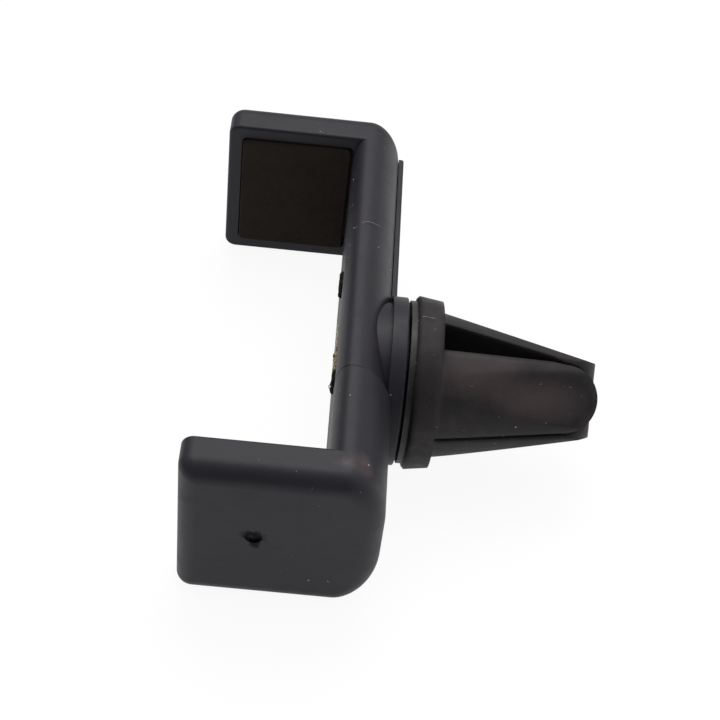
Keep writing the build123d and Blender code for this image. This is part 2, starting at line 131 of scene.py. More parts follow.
# Light: a room with a bright ceiling and right side, a broad lamp over the far end, a pale floor


def light_room():
    """A room that is bright overhead and on the right, and dim on the left and by the camera."""
    ceiling, left_wall, right_wall = 1.0, 0.03, 0.5
    by_camera = 0.2
    to_camera = (0.0, -0.68, 0.73)
    smooth = {"interpolation_type": "SMOOTHSTEP"}
    world = bpy.data.worlds.new("studio")
    bpy.context.scene.world = world
    world.use_nodes = True
    tree = world.node_tree
    tree.nodes.clear()
    towards = add_node(tree, "ShaderNodeTexCoord").outputs["Generated"]
    axes = add_node(tree, "ShaderNodeSeparateXYZ", inputs={0: towards}).outputs
    facing = add_node(
        tree, "ShaderNodeVectorMath", {"operation": "DOT_PRODUCT"}, {0: towards, 1: to_camera}
    ).outputs["Value"]
    walls = add_node(
        tree,
        "ShaderNodeMapRange",
        smooth,
        {
            "Value": axes["X"],
            "From Min": -0.3,
            "From Max": 0.6,
            "To Min": left_wall,
            "To Max": right_wall,
        },
    )
    upwards = add_node(
        tree,
        "ShaderNodeMapRange",
        smooth,
        {"Value": axes["Z"], "From Min": 0.05, "From Max": 0.75, "To Min": walls, "To Max": ceiling},
    )
    shade = add_node(
        tree,
        "ShaderNodeMapRange",
        smooth,
        {"Value": facing, "From Min": 0.45, "From Max": 0.92, "To Min": 1.0, "To Max": by_camera},
    )
    strength = add_node(tree, "ShaderNodeMath", {"operation": "MULTIPLY"}, {0: upwards, 1: shade})
    white = linear("#ffffff")
    room = add_node(tree, "ShaderNodeBackground", inputs={"Color": white, "Strength": strength})
    backdrop = add_node(tree, "ShaderNodeBackground", inputs={"Color": white, "Strength": 1.0})
    camera_ray = add_node(tree, "ShaderNodeLightPath").outputs["Is Camera Ray"]
    seen = add_node(tree, "ShaderNodeMixShader", inputs={0: camera_ray, 1: room, 2: backdrop})
    add_node(tree, "ShaderNodeOutputWorld", inputs={"Surface": seen})


def add_lamp(name, place, target, width, power):
    """A soft square lamp; its place, target and width are in millimetres, its power in watts."""
    lamp = bpy.data.lights.new(name, "AREA")
    lamp.shape = "SQUARE"
    lamp.size = width * MM
    lamp.energy = power
    holder = bpy.data.objects.new(name, lamp)
    aim = (Vector(target) - Vector(place)).to_track_quat("-Z", "Y")
    holder.matrix_world = Matrix.Translation(Vector(place) * MM) @ aim.to_matrix().to_4x4()
    bpy.context.scene.collection.objects.link(holder)


def lay_floor():
    """A wide pale sheet under the part, level with the side that it lies on.

    Its own glow makes it as white as the photograph's ground for rays that see it directly, and
    less so in reflections. The rest of it takes the part's shadow.
    """
    reach = 3000 * MM
    glow_strength, glow_share, share_in_gloss = 1.06, 0.87, 0.7
    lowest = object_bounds()[0][2]
    corners = [(-reach, -reach), (reach, -reach), (reach, reach), (-reach, reach)]
    mesh = bpy.data.meshes.new("floor")
    mesh.from_pydata([(x, y, lowest) for x, y in corners], [], [(0, 1, 2, 3)])
    paper = bpy.data.materials.new("white_studio_paper")
    paper.use_nodes = True
    tree = paper.node_tree
    tree.nodes.clear()
    path = add_node(tree, "ShaderNodeLightPath").outputs
    seen = add_node(
        tree,
        "ShaderNodeMath",
        {"operation": "MULTIPLY"},
        {0: path["Is Glossy Ray"], 1: share_in_gloss},
    )
    for direct in ("Is Camera Ray", "Is Transmission Ray"):
        seen = add_node(
            tree, "ShaderNodeMath", {"operation": "MAXIMUM"}, {0: seen, 1: path[direct]}
        )
    share = add_node(tree, "ShaderNodeMath", {"operation": "MULTIPLY"}, {0: seen, 1: glow_share})
    matt = add_node(tree, "ShaderNodeBsdfDiffuse", inputs={"Color": linear("#f4f4f4")})
    glow = add_node(
        tree, "ShaderNodeEmission", inputs={"Color": linear("#ffffff"), "Strength": glow_strength}
    )
    both = add_node(tree, "ShaderNodeMixShader", inputs={0: share, 1: matt, 2: glow})
    add_node(tree, "ShaderNodeOutputMaterial", inputs={"Surface": both})
    mesh.materials.append(paper)
    floor = bpy.data.objects.new("floor", mesh)
    bpy.context.scene.collection.objects.link(floor)


light_room()
add_lamp("lamp_over_far_end", place=(20, 300, 520), target=(5, 0, 0), width=420, power=1.3)
lay_floor()


# Finishes


def new_finish(name):
    """An empty material; returns it, its tree and its Object coordinates."""
    material = bpy.data.materials.new(name)
    material.use_nodes = True
    tree = material.node_tree
    tree.nodes.clear()
    place = add_node(tree, "ShaderNodeTexCoord").outputs["Object"]
    return material, tree, place


def finished(material, surface):
    """Ends a material in one shader, whose inputs are given by name, and returns the material."""
    tree = material.node_tree
    shader = add_node(tree, "ShaderNodeBsdfPrincipled", inputs=surface)
    add_node(tree, "ShaderNodeOutputMaterial", inputs={"Surface": shader})
    return material


def grains_per_metre(size_mm):
    """A noise scale whose lumps measure size_mm."""
    return 1 / (size_mm * MM)


def blotches(tree, place, size_mm, low, high, seed=0.0):
    """Soft noise with lumps of size_mm, cut to 0 below low and 1 above high."""
    noise = add_node(
        tree,
        "ShaderNodeTexNoise",
        {"noise_dimensions": "4D"},
        {
            "Vector": place,
            "W": seed,
            "Scale": grains_per_metre(size_mm),
            "Detail": 3.0,
            "Roughness": 0.55,
        },
    )
    return add_node(
        tree,
        "ShaderNodeMapRange",
        {"clamp": True},
        {"Value": noise, "From Min": low, "From Max": high},
    )


def specks(tree, place, spacing_mm, size_mm, share):
    """Small round specks of size_mm, on a share of cells spacing_mm wide."""
    cells = add_node(
        tree,
        "ShaderNodeTexVoronoi",
        {"feature": "F1"},
        {"Vector": place, "Scale": grains_per_metre(spacing_mm), "Randomness": 1.0},
    ).outputs
    chance = add_node(tree, "ShaderNodeSeparateColor", inputs={0: cells["Color"]})
    chosen = add_node(tree, "ShaderNodeMath", {"operation": "LESS_THAN"}, {0: chance, 1: share})
    near = add_node(
        tree,
        "ShaderNodeMath",
        {"operation": "LESS_THAN"},
        {0: cells["Distance"], 1: size_mm / spacing_mm / 2},
    )
    return add_node(tree, "ShaderNodeMath", {"operation": "MULTIPLY"}, {0: near, 1: chosen})


def patch_at(tree, place, centre, radii, ragged, soft):
    """1 inside an ellipsoid and 0 outside it; its centre and radii are in millimetres.

    Noise eats into its edge by a share of ragged, and the edge fades over a share of soft.
    """
    away = add_node(
        tree,
        "ShaderNodeVectorMath",
        {"operation": "SUBTRACT"},
        {0: place, 1: [value * MM for value in centre]},
    )
    shares = add_node(
        tree,
        "ShaderNodeVectorMath",
        {"operation": "DIVIDE"},
        {0: away, 1: [value * MM for value in radii]},
    )
    reach = add_node(tree, "ShaderNodeVectorMath", {"operation": "LENGTH"}, {0: shares})
    noise = blotches(tree, place, min(radii) * 0.7, 0.25, 0.75, seed=7.0)
    edge = add_node(
        tree,
        "ShaderNodeMath",
        {"operation": "MULTIPLY_ADD"},
        {0: noise, 1: ragged, 2: reach.outputs["Value"]},
    )
    return add_node(
        tree,
        "ShaderNodeMapRange",
        {"clamp": True},
        {"Value": edge, "From Min": 1.0, "From Max": 1.0 - soft},
    )


def tint(tree, base, colour, where, depth=1.0):
    """Lays a hex colour over a base colour, as deep as depth, where a mask is 1."""
    share = add_node(tree, "ShaderNodeMath", {"operation": "MULTIPLY"}, {0: where, 1: depth})
    return add_node(
        tree, "ShaderNodeMix", {"data_type": "RGBA"}, {0: share, 6: base, 7: linear(colour)}
    ).outputs[2]


def satin_abs(name, scuffed_glints=(), near_black_patches=()):
    """ABS from a spark-eroded mould: charcoal, fine grain that spreads the highlight, flow marks.

    The 0.15 mm grain is drawn at 0.3 mm so that it shows, over sink marks 5 mm wide. Hands and
    pockets leave dull warm patches and a little dust. Scuffs are polished, and their lighter
    pinkish colour is a painted highlight; near-black patches are dark and dull, in and around the
    dimple on the jaw's end face. Each is a centre and radii in millimetres.
    """
    material, tree, place = new_finish(name)
    flow = blotches(tree, place, 9.0, 0.35, 0.65)
    worn = blotches(tree, place, 3.5, 0.52, 0.72, seed=2.0)
    dust = specks(tree, place, 2.2, 0.16, 0.16)
    base = tint(tree, linear("#28262d"), "#2c2a31", flow)
    base = tint(tree, base, "#352f38", worn, 0.5)
    base = tint(tree, base, "#8d8885", dust, 0.7)
    sheen = add_node(
        tree, "ShaderNodeMapRange", inputs={"Value": worn, "To Min": 0.46, "To Max": 0.56}
    )
    # Scuffs are glossier, and their lighter pinkish colour is a painted highlight
    for centre, radii in scuffed_glints:
        scuff_and_highlight = patch_at(tree, place, centre, radii, ragged=0.5, soft=0.8)
        base = tint(tree, base, "#6d5c5c", scuff_and_highlight, 0.45)
        sheen = add_node(tree, "ShaderNodeMix", {"data_type": "FLOAT"}, {0: scuff_and_highlight, 2: sheen, 3: 0.34})
    # Near-black, dull patches in and around the dimple on the jaw's end face
    for centre, radii in near_black_patches:
        near_black = patch_at(tree, place, centre, radii, ragged=0.45, soft=0.3)
        base = tint(tree, base, "#070707", near_black)
        sheen = add_node(tree, "ShaderNodeMix", {"data_type": "FLOAT"}, {0: near_black, 2: sheen, 3: 0.8})
    grain = add_node(
        tree,
        "ShaderNodeTexNoise",
        inputs={"Vector": place, "Scale": grains_per_metre(0.3), "Detail": 2.0},
    )
    sinks = blotches(tree, place, 5.0, 0.2, 0.8, seed=4.0)
    waves = add_node(
        tree, "ShaderNodeBump", inputs={"Height": sinks, "Distance": 0.05 * MM, "Strength": 1.0}
    )
    relief = add_node(
        tree,
        "ShaderNodeBump",
        inputs={"Height": grain, "Distance": 0.012 * MM, "Strength": 1.0, "Normal": waves},
    )
    return finished(
        material,
        {"Base Color": base, "Roughness": sheen, "Specular IOR Level": 0.3, "Normal": relief},
    )


def sheet_rubber(name):
    """A stamped rubber sheet: brown-black, dull, with a faint calendered grain 0.35 mm apart."""
    material, tree, place = new_finish(name)
    cloud = blotches(tree, place, 4.0, 0.3, 0.7)
    fine = blotches(tree, place, 0.8, 0.4, 0.75, seed=5.0)
    base = tint(tree, linear("#221d19"), "#2e251f", cloud)
    base = tint(tree, base, "#382c24", fine, 0.35)
    grain = add_node(
        tree,
        "ShaderNodeTexNoise",
        inputs={"Vector": place, "Scale": grains_per_metre(0.35), "Detail": 3.0},
    )
    relief = add_node(
        tree, "ShaderNodeBump", inputs={"Height": grain, "Distance": 0.03 * MM, "Strength": 1.0}
    )
    return finished(
        material,
        {"Base Color": base, "Roughness": 0.82, "Specular IOR Level": 0.25, "Normal": relief},
    )


def moulded_rubber(name):
    """Injection-moulded soft rubber: near black, dull, with greasy brown patches and pale dust.

    Two soft pinkish patches on the near tongue's upper side are a painted highlight, and the rubber
    is glossier there. Its creases look softer than the solid's, as soft rubber's do.
    """
    material, tree, place = new_finish(name)
    cloud = blotches(tree, place, 6.0, 0.35, 0.7)
    grease = blotches(tree, place, 2.2, 0.5, 0.75, seed=1.0)
    dust = specks(tree, place, 1.8, 0.16, 0.2)
    base = tint(tree, linear("#1f1d1e"), "#2a2526", cloud)
    base = tint(tree, base, "#352b28", grease, 0.5)
    base = tint(tree, base, "#a39c95", dust, 0.75)
    gloss = add_node(
        tree, "ShaderNodeMapRange", inputs={"Value": grease, "To Min": 0.6, "To Max": 0.48}
    )
    # Two lighter pinkish patches on the near tongue's upper side: a painted highlight, glossier
    # there
    painted_highlights = ((20.0, -4.8, 8.4), (11.0, 5.0, 4.4)), ((30.0, -6.0, 5.2), (11.0, 4.5, 3.8))
    for centre, radii in painted_highlights:
        painted_highlight = patch_at(tree, place, centre, radii, ragged=0.25, soft=0.7)
        share = add_node(tree, "ShaderNodeMath", {"operation": "MULTIPLY"}, {0: painted_highlight, 1: 0.6})
        base = tint(tree, base, "#584b4d", share)
        gloss = add_node(
            tree, "ShaderNodeMix", {"data_type": "FLOAT"}, {0: share, 2: gloss, 3: 0.3}
        )
    grain = add_node(
        tree,
        "ShaderNodeTexNoise",
        inputs={"Vector": place, "Scale": grains_per_metre(0.4), "Detail": 3.0},
    )
    soft_edges = add_node(tree, "ShaderNodeBevel", {"samples": 8}, {"Radius": 1.4 * MM})
    relief = add_node(
        tree,
        "ShaderNodeBump",
        inputs={"Height": grain, "Distance": 0.02 * MM, "Strength": 1.0, "Normal": soft_edges},
    )
    return finished(
        material,
        {"Base Color": base, "Roughness": gloss, "Specular IOR Level": 0.35, "Normal": relief},
    )


def smooth_plastic(name, colour, roughness):
    """Turned or moulded nylon or acetal: even colour, soft sheen, and faint cloudiness."""
    material, tree, place = new_finish(name)
    cloud = blotches(tree, place, 2.0, 0.35, 0.65)
    base = tint(tree, linear(colour), "#6a6866", cloud, 0.25)
    return finished(material, {"Base Color": base, "Roughness": roughness})


def marked_steel(name, colour, roughness, mark_mm):
    """Ground, drawn, plated or blackened steel: a metal with fine marks along the clamp.

    Its marks are mark_mm wide and some twelve times as long, and a little duller than the rest.
    """
    across, along = 1.0, 0.08
    material, tree, place = new_finish(name)
    drawn_out = add_node(
        tree, "ShaderNodeMapping", inputs={"Vector": place, "Scale": (across, along, across)}
    )
    marks = blotches(tree, drawn_out, mark_mm, 0.35, 0.65)
    base = tint(tree, linear(colour), "#7d7c78", marks, 0.3)
    gloss = add_node(
        tree,
        "ShaderNodeMapRange",
        inputs={"Value": marks, "To Min": roughness, "To Max": roughness + 0.12},
    )
    relief = add_node(
        tree, "ShaderNodeBump", inputs={"Height": marks, "Distance": 0.004 * MM, "Strength": 1.0}
    )
    return finished(
        material, {"Base Color": base, "Metallic": 1.0, "Roughness": gloss, "Normal": relief}
    )


def torn_cushion(name, colour, fleck, roughness):
    """What is left of a stick-on cushion: cellular, ragged and dull, with flecks of its glue."""
    material, tree, place = new_finish(name)
    cells = blotches(tree, place, 0.5, 0.4, 0.62)
    base = tint(tree, linear(colour), fleck, cells)
    relief = add_node(
        tree, "ShaderNodeBump", inputs={"Height": cells, "Distance": 0.08 * MM, "Strength": 1.0}
    )
    return finished(material, {"Base Color": base, "Roughness": roughness, "Normal": relief})


finishes = {
    "housing": satin_abs("satin_abs_bar"),
    "back_cover": satin_abs("satin_abs_cover"),
    "sliding_jaw": satin_abs(
        "satin_abs_jaw",
        # The scuffs at the jaw's back corner: glossier, with a pinkish painted highlight
        scuffed_glints=[((4.6, -27.0, 12.9), (3.4, 3.0, 2.4)), ((2.4, -27.6, 13.2), (2.4, 1.6, 1.6))],
        # Near-black, dull patches in and around the dimple on the jaw's end face
        near_black_patches=[((-9.1, -31.3, 1.0), (2.6, 0.9, 1.7)), ((-8.8, -31.3, -0.6), (1.2, 0.9, 1.7))],
    ),
    "pads": sheet_rubber("stamped_rubber_sheet"),
    "clip": moulded_rubber("moulded_soft_rubber"),
    "hub": smooth_plastic("black_acetal", "#141315", 0.5),
    "bush": smooth_plastic("natural_nylon", "#d2cfc6", 0.45),
    "washer": smooth_plastic("grey_acetal", "#232226", 0.5),
    "rod": marked_steel("ground_rod_steel", "#b9b9b6", 0.22, 0.2),
    "spring": marked_steel("drawn_spring_wire", "#8f8e8a", 0.3, 0.15),
    "foam": torn_cushion("torn_black_foam", "#0d0c0b", "#1d1a17", 0.9),
    "glue": torn_cushion("dried_brown_glue", "#6d5330", "#d3c8a4", 0.55),
    "film": torn_cushion("pale_cushion_film", "#cfcab9", "#a79f8c", 0.6),
    "lint": torn_cushion("pale_lint", "#8f8a86", "#c6c1ba", 0.9),
    "plated": marked_steel("zinc_plated_steel", "#a8a7a2", 0.32, 0.2),
    "screw": marked_steel("black_oxide_steel", "#37373a", 0.4, 0.2),
}
node_finish = {
    "housing": "housing",
    "back_cover": "back_cover",
    "sliding_jaw": "sliding_jaw",
    "fixed_jaw_pad": "pads",
    "sliding_jaw_pad": "pads",
    "clip_rubber": "clip",
    "clip_hub": "hub",
    "rod_bushes": "bush",
    "friction_washer": "washer",
    "guide_rod_upper": "rod",
    "guide_rod_lower": "rod",
    "rod_washers": "plated",
    "rod_clips": "plated",
    "thrust_washer": "plated",
    "spring_washer": "plated",
    "swivel_screw": "plated",
    "cover_screws": "screw",
    "return_spring_upper": "spring",
    "return_spring_lower": "spring",
    "front_pad_remnant": "pads",
}
for node_name, finish in node_finish.items():
    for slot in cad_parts[node_name].material_slots:
        slot.material = finishes[finish]


# Pieces that Blender adds


def keep_piece(name, mesh, body, finish, stands_for=()):
    """Puts a finished mesh in the scene as a piece of a body."""
    mesh.materials.clear()
    mesh.materials.append(finishes[finish])
    piece = bpy.data.objects.new(name, mesh)
    bpy.context.scene.collection.objects.link(piece)
    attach(piece, body)
    if stands_for:
        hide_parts(*stands_for)
    return piece


def new_group(name, inputs):
    """A geometry tree with named inputs; returns it and its input and output sockets."""
    tree = bpy.data.node_groups.new(name, "GeometryNodeTree")
    for label, kind in inputs.items():
        tree.interface.new_socket(label, in_out="INPUT", socket_type=kind)
    tree.interface.new_socket("Geometry", in_out="OUTPUT", socket_type="NodeSocketGeometry")
    return tree, add_node(tree, "NodeGroupInput").outputs, add_node(tree, "NodeGroupOutput").inputs


def grown_mesh(name, tree, values):
    """Runs a geometry tree with its inputs by name and returns the result as a plain mesh."""
    holder = bpy.data.objects.new(name, bpy.data.meshes.new(name))
    bpy.context.scene.collection.objects.link(holder)
    modifier = holder.modifiers.new(name, "NODES")
    modifier.node_group = tree
    for item in tree.interface.items_tree:
        if item.name in values:
            modifier[item.identifier] = values[item.name]
    graph = bpy.context.evaluated_depsgraph_get()
    mesh = bpy.data.meshes.new_from_object(holder.evaluated_get(graph))
    bpy.data.objects.remove(holder)
    mesh.name = name
    return mesh


def curve_through(name, kind, points):
    """A curve object on points in millimetres: POLY passes through them, NURBS close by."""
    curve = bpy.data.curves.new(name, "CURVE")
    curve.dimensions = "3D"
    spline = curve.splines.new(kind)
    spline.points.add(len(points) - 1)
    for spot, point in zip(spline.points, points):
        spot.co = (*[value * MM for value in point], 1.0)
    holder = bpy.data.objects.new(name, curve)
    bpy.context.scene.collection.objects.link(holder)
    return holder


def coil_group():
    """A compression spring along Y: open coils, with one closed coil at each end."""
    tree, given, result = new_group(
        "coil_spring",
        {
            "Turns": "NodeSocketFloat",
            "Length": "NodeSocketFloat",
            "Radius": "NodeSocketFloat",
            "Wire": "NodeSocketFloat",
            "Place": "NodeSocketVector",
            "Material": "NodeSocketMaterial",
        },
    )
    wire = given["Wire"]
    half = add_node(tree, "ShaderNodeMath", {"operation": "MULTIPLY"}, {0: wire, 1: 0.5})
    first = add_node(tree, "ShaderNodeMath", {"operation": "MULTIPLY"}, {0: wire, 1: 1.5})
    span = add_node(
        tree,
        "ShaderNodeMath",
        {"operation": "MULTIPLY_ADD"},
        {0: wire, 1: -3.0, 2: given["Length"]},
    )
    last = add_node(tree, "ShaderNodeMath", {"operation": "ADD"}, {0: first, 1: span})
    joined = add_node(tree, "GeometryNodeJoinGeometry")
    stretches = (1.0, wire, half), (given["Turns"], span, first), (1.0, wire, last)
    for turns, rise, start in stretches:
        spiral = add_node(
            tree,
            "GeometryNodeCurveSpiral",
            inputs={
                "Resolution": 24,
                "Rotations": turns,
                "Start Radius": given["Radius"],
                "End Radius": given["Radius"],
                "Height": rise,
            },
        )
        shift = add_node(tree, "ShaderNodeCombineXYZ", inputs={"Z": start})
        moved = add_node(
            tree, "GeometryNodeTransform", inputs={"Geometry": spiral, "Translation": shift}
        )
        tree.links.new(moved.outputs[0], joined.inputs[0])
    profile = add_node(
        tree, "GeometryNodeCurvePrimitiveCircle", inputs={"Resolution": 10, "Radius": half}
    )
    swept = add_node(
        tree,
        "GeometryNodeCurveToMesh",
        inputs={"Curve": joined, "Profile Curve": profile, "Fill Caps": True},
    )
    laid = add_node(
        tree,
        "GeometryNodeTransform",
        inputs={
            "Geometry": swept,
            "Translation": given["Place"],
            "Rotation": (math.radians(-90), 0, 0),
        },
    )
    smooth = add_node(tree, "GeometryNodeSetShadeSmooth", inputs={"Geometry": laid})
    solid = add_node(tree, "GeometryNodeRealizeInstances", inputs={"Geometry": smooth})
    coated = add_node(
        tree,
        "GeometryNodeSetMaterial",
        inputs={"Geometry": solid, "Material": given["Material"]},
    )
    tree.links.new(coated.outputs[0], result[0])
    return tree


def add_springs():
    """The two return springs, as fixed coils at their rest length; the real ones shorten as the jaw
    opens, these do not.
    """
    wire = 0.35 * MM
    tree = coil_group()
    for side in ("upper", "lower"):
        low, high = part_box(f"return_spring_{side}")
        middle = (low + high) / 2
        anchor = (middle.x, low.y, middle.z)
        mesh = grown_mesh(
            f"coil_spring_{side}",
            tree,
            {
                "Turns": 9.0,
                "Length": high.y - low.y,
                "Radius": (high.x - low.x - wire) / 2,
                "Wire": wire,
                "Place": anchor,
                "Material": finishes["spring"],
            },
        )
        piece = keep_piece(
            mesh.name, mesh, "clamp_bar", "spring", [f"return_spring_{side}"]
        )
        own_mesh(piece)


def scrap(name, finish, outline, thickness, seed, stands_for=()):
    """A ragged scrap of the cushion on the bar's front; its outline in Y and Z, in millimetres."""
    edge_step = 0.35
    chance = random.Random(seed)
    edge = []
    for start, end in zip(outline, outline[1:] + outline[:1]):
        steps = max(2, round(math.dist(start, end) / edge_step))
        for step in range(steps):
            share = step / steps
            edge.append(
                [a + (b - a) * share + chance.uniform(-0.14, 0.14) for a, b in zip(start, end)]
            )
    centre = [sum(point[axis] for point in edge) / len(edge) for axis in (0, 1)]
    shape = bmesh.new()
    rings = []
    # The rings' widths, and their heights as shares of the thickness
    layers = (1.0, 0.0), (1.02, 0.45), (0.9, 0.85), (0.72, 0.9), (0.5, 0.8), (0.25, 0.9)
    for width, height in layers:
        ring = []
        for y, z in edge:
            rise = height * thickness * chance.uniform(0.62, 1.0)
            spread = width * (1 if height == 0 else chance.uniform(0.96, 1.04))
            place = (
                -rise,
                centre[0] + (y - centre[0]) * spread,
                centre[1] + (z - centre[1]) * spread,
            )
            ring.append(shape.verts.new([value * MM for value in place]))
        rings.append(ring)
    count = len(edge)
    for outer, inner in zip(rings, rings[1:]):
        for index in range(count):
            after = (index + 1) % count
            shape.faces.new((outer[index], outer[after], inner[after], inner[index]))
    shape.faces.new(rings[-1])
    shape.faces.new(list(reversed(rings[0])))
    bmesh.ops.triangulate(shape, faces=[face for face in shape.faces if len(face.verts) > 4])
    bmesh.ops.recalc_face_normals(shape, faces=shape.faces)
    mesh = bpy.data.meshes.new(name)
    shape.to_mesh(mesh)
    shape.free()
    keep_piece(name, mesh, "clamp_bar", finish, stands_for)


def add_scraps():
    """What is left of the cushion on the front: foam nub, film sliver, glue and foam crumbs."""
    nub = [(10.1, 6.0), (10.5, 8.6), (12.9, 8.8), (13.2, 7.3), (12.1, 5.8)]
    sliver = [(-1.7, 5.6), (-1.9, 8.3), (0.4, 8.8), (2.8, 8.0), (1.9, 6.3), (0.2, 5.1)]
    glue = [(-6.6, 4.4), (-6.8, 8.4), (-4.6, 8.8), (-2.4, 8.2), (-3.1, 6.4), (-4.4, 5.7)]
    long_crumb = [(-7.2, 3.8), (-7.1, 5.0), (-5.4, 4.7), (-4.9, 3.6), (-6.2, 3.0)]
    high_crumb = [(-8.6, 6.8), (-8.8, 8.3), (-7.3, 8.7), (-6.7, 7.4), (-7.5, 6.5)]
    small_crumb = [(-4.3, 7.6), (-4.2, 8.7), (-3.4, 8.5), (-3.3, 7.7)]
    scrap("foam_nub", "foam", nub, 0.66, 11, ["front_pad_remnant"])
    scrap("film_sliver", "film", sliver, 0.42, 12)
    scrap("glue_scrap", "glue", glue, 0.55, 13)
    scrap("foam_crumb_long", "foam", long_crumb, 0.6, 14)
    scrap("foam_crumb_high", "foam", high_crumb, 0.62, 15)
    scrap("foam_crumb_small", "foam", small_crumb, 0.66, 16)


def add_fibre(name, body, finish, points, radius):
    """A stray fibre that follows a few points; they and its radius are in millimetres."""
    holder = curve_through(name, "NURBS", points)
    curve = holder.data
    curve.bevel_depth = radius * MM
    curve.bevel_resolution = 1
    curve.resolution_u = 6
    curve.use_fill_caps = True
    spline = curve.splines[0]
    spline.order_u = 3
    spline.use_endpoint_u = True
    graph = bpy.context.evaluated_depsgraph_get()
    mesh = bpy.data.meshes.new_from_object(holder.evaluated_get(graph))
    bpy.data.objects.remove(holder)
    keep_piece(name, mesh, body, finish)


def add_fibres():
    """The lint over the bar's lit side and on the collar, and the thread below the scraps."""
    bar_lint = [
        (1.0, 18.6, 12.5),
        (1.7, 19.5, 12.9),
        (2.6, 19.9, 13.04),
        (3.8, 19.8, 13.03),
        (5.0, 19.3, 12.75),
    ]
    collar_lint = [(11.6, 1.1, 12.86), (12.2, 1.3, 12.95), (12.9, 1.0, 12.86), (13.5, 1.2, 12.8)]
    thread = [
        (-0.05, -7.6, 7.8),
        (-0.5, -8.4, 7.9),
        (-0.6, -9.0, 7.7),
        (-0.85, -9.4, 7.9),
        (-0.6, -9.7, 7.6),
    ]
    add_fibre("lint_on_bar", "clamp_bar", "lint", bar_lint, 0.035)
    add_fibre("lint_on_collar", "vent_clip", "lint", collar_lint, 0.03)
    add_fibre("torn_thread", "clamp_bar", "foam", thread, 0.06)


def add_crumbs():
    """The larger pale crumbs and flecks, each in its place: a point in millimetres and a radius."""
    crumbs = {
        "clamp_bar": [
            ((-5.6, 39.9, 13.0), 0.13),
            ((-5.2, 39.8, 13.0), 0.08),
            ((0.3, 31.1, 11.3), 0.1),
            ((0.5, 24.9, 11.6), 0.12),
            ((0.9, 18.9, 12.4), 0.1),
            ((4.8, 15.1, 12.5), 0.08),
            ((6.8, 12.8, 10.3), 0.09),
        ],
        "jaw": [
            ((-1.0, -31.5, -8.0), 0.17),
            ((1.6, -31.5, -7.8), 0.11),
            ((1.85, -31.5, -7.9), 0.08),
            ((5.2, -27.2, 13.0), 0.12),
            ((2.1, -15.8, 13.6), 0.12),
            ((7.95, -10.9, 8.95), 0.1),
        ],
        "vent_clip": [
            ((11.2, 1.0, 12.1), 0.1),
            ((11.2, -1.3, 10.3), 0.11),
            ((20.1, -5.85, 7.6), 0.13),
            ((31.05, -7.5, 2.4), 0.15),
            ((26.7, -8.6, 2.1), 0.12),
        ],
    }
    for body, places in crumbs.items():
        shape = bmesh.new()
        for place, radius in places:
            spot = Matrix.Translation(Vector(place) * MM)
            bmesh.ops.create_icosphere(shape, subdivisions=1, radius=radius * MM, matrix=spot)
        mesh = bpy.data.meshes.new(f"crumbs_on_{body}")
        shape.to_mesh(mesh)
        shape.free()
        keep_piece(mesh.name, mesh, body, "film")


def strewn(tree, points, turn, given):
    """Dust on points: lumps and short hairs of many sizes, as one plain geometry."""
    hair_length = 0.4 * MM
    lump = add_node(
        tree, "GeometryNodeMeshIcoSphere", inputs={"Radius": given["Grain"], "Subdivisions": 1}
    )
    flat = add_node(
        tree, "GeometryNodeTransform", inputs={"Geometry": lump, "Scale": (1.0, 0.7, 0.5)}
    )
    stem = add_node(
        tree,
        "GeometryNodeMeshCylinder",
        inputs={"Vertices": 4, "Radius": given["Grain"], "Depth": hair_length},
    )
    hair = add_node(
        tree,
        "GeometryNodeTransform",
        inputs={
            "Geometry": stem.outputs["Mesh"],
            "Scale": (0.3, 0.3, 1.0),
            "Rotation": (0, math.radians(84), 0),
        },
    )
    kinds = add_node(tree, "GeometryNodeGeometryToInstance")
    for piece in (hair, flat):
        tree.links.new(piece.outputs[0], kinds.inputs[0])
    kind = add_node(
        tree,
        "FunctionNodeRandomValue",
        {"data_type": "FLOAT"},
        {"Min": 0.0, "Max": 1.15, "Seed": given["Seed"]},
    )
    size = add_node(
        tree,
        "FunctionNodeRandomValue",
        {"data_type": "FLOAT"},
        {"Min": 0.3, "Max": 1.2, "Seed": given["Seed"]},
    )
    which = add_node(tree, "ShaderNodeMath", {"operation": "FLOOR"}, {0: kind.outputs[1]})
    placed = add_node(
        tree,
        "GeometryNodeInstanceOnPoints",
        inputs={
            "Points": points,
            "Instance": kinds,
            "Pick Instance": True,
            "Instance Index": which,
            "Rotation": turn,
            "Scale": size.outputs[1],
        },
    )
    solid = add_node(tree, "GeometryNodeRealizeInstances", inputs={"Geometry": placed})
    return add_node(
        tree,
        "GeometryNodeSetMaterial",
        inputs={"Geometry": solid, "Material": given["Material"]},
    )


